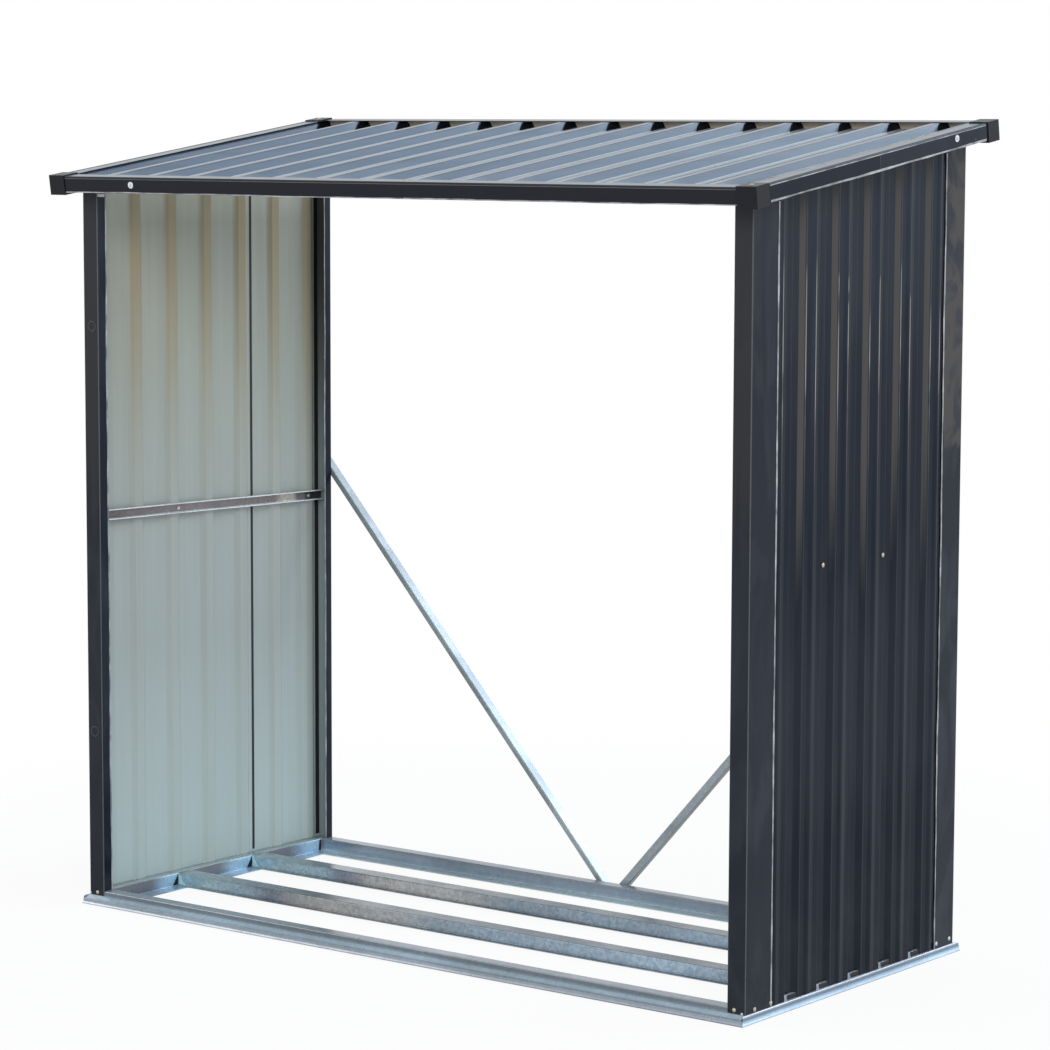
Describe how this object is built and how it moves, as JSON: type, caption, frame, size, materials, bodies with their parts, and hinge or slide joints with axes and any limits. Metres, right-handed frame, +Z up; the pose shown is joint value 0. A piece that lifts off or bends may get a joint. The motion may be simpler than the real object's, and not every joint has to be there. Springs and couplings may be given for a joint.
{
  "type": "log store",
  "caption": "Lean-to log store of dark painted ribbed steel sheet with galvanised floor rails, open at the front and back, with two angle braces that make a V across the back.",
  "frame": {"origin": "on the ground, under the middle of the roof's outline, which is within a few millimetres the middle of the floor frame", "axes": "+X along the open front to the right, +Y from the low front to the high back, +Z up; the ground is z = 0"},
  "size_m": [1.634, 0.796, 1.54],
  "materials": {
    "dark_paint": "semi-gloss dark blue-grey coating outside, pale grey-green primer on the sheets' other side",
    "galvanised": "bright hot-dip galvanised with spangle",
    "cap_plastic": "moulded black plastic, slightly satin"
  },
  "bodies": {
    "root": {"base_rail_front": "galvanised", "base_rail_left": "galvanised", "base_rail_rear": "galvanised", "base_rail_right": "galvanised", "brace_left": "galvanised", "brace_right": "galvanised", "corner_post_front_left": "dark_paint", "corner_post_front_right": "dark_paint", "corner_post_rear_left": "dark_paint", "corner_post_rear_right": "dark_paint", "floor_joist_front": "galvanised", "floor_joist_rear": "galvanised", "left_wall_rail": "galvanised", "left_wall_sheet_front": "dark_paint", "left_wall_sheet_rear": "dark_paint", "right_wall_rail": "galvanised", "right_wall_sheet_front": "dark_paint", "right_wall_sheet_rear": "dark_paint", "roof_cap_front_left": "cap_plastic", "roof_cap_front_right": "cap_plastic", "roof_cap_rear_left": "cap_plastic", "roof_cap_rear_right": "cap_plastic", "roof_sheet_left": "dark_paint", "roof_sheet_middle": "dark_paint", "roof_sheet_right": "dark_paint", "roof_trim_front_left": "dark_paint", "roof_trim_front_right": "dark_paint", "roof_trim_left_front": "dark_paint", "roof_trim_left_rear": "dark_paint", "roof_trim_rear_left": "dark_paint", "roof_trim_rear_right": "dark_paint", "roof_trim_right_front": "dark_paint", "roof_trim_right_rear": "dark_paint", "top_beam_front": "galvanised", "top_beam_left": "galvanised", "top_beam_rear": "galvanised", "top_beam_right": "galvanised"}
  },
  "joints": []
}
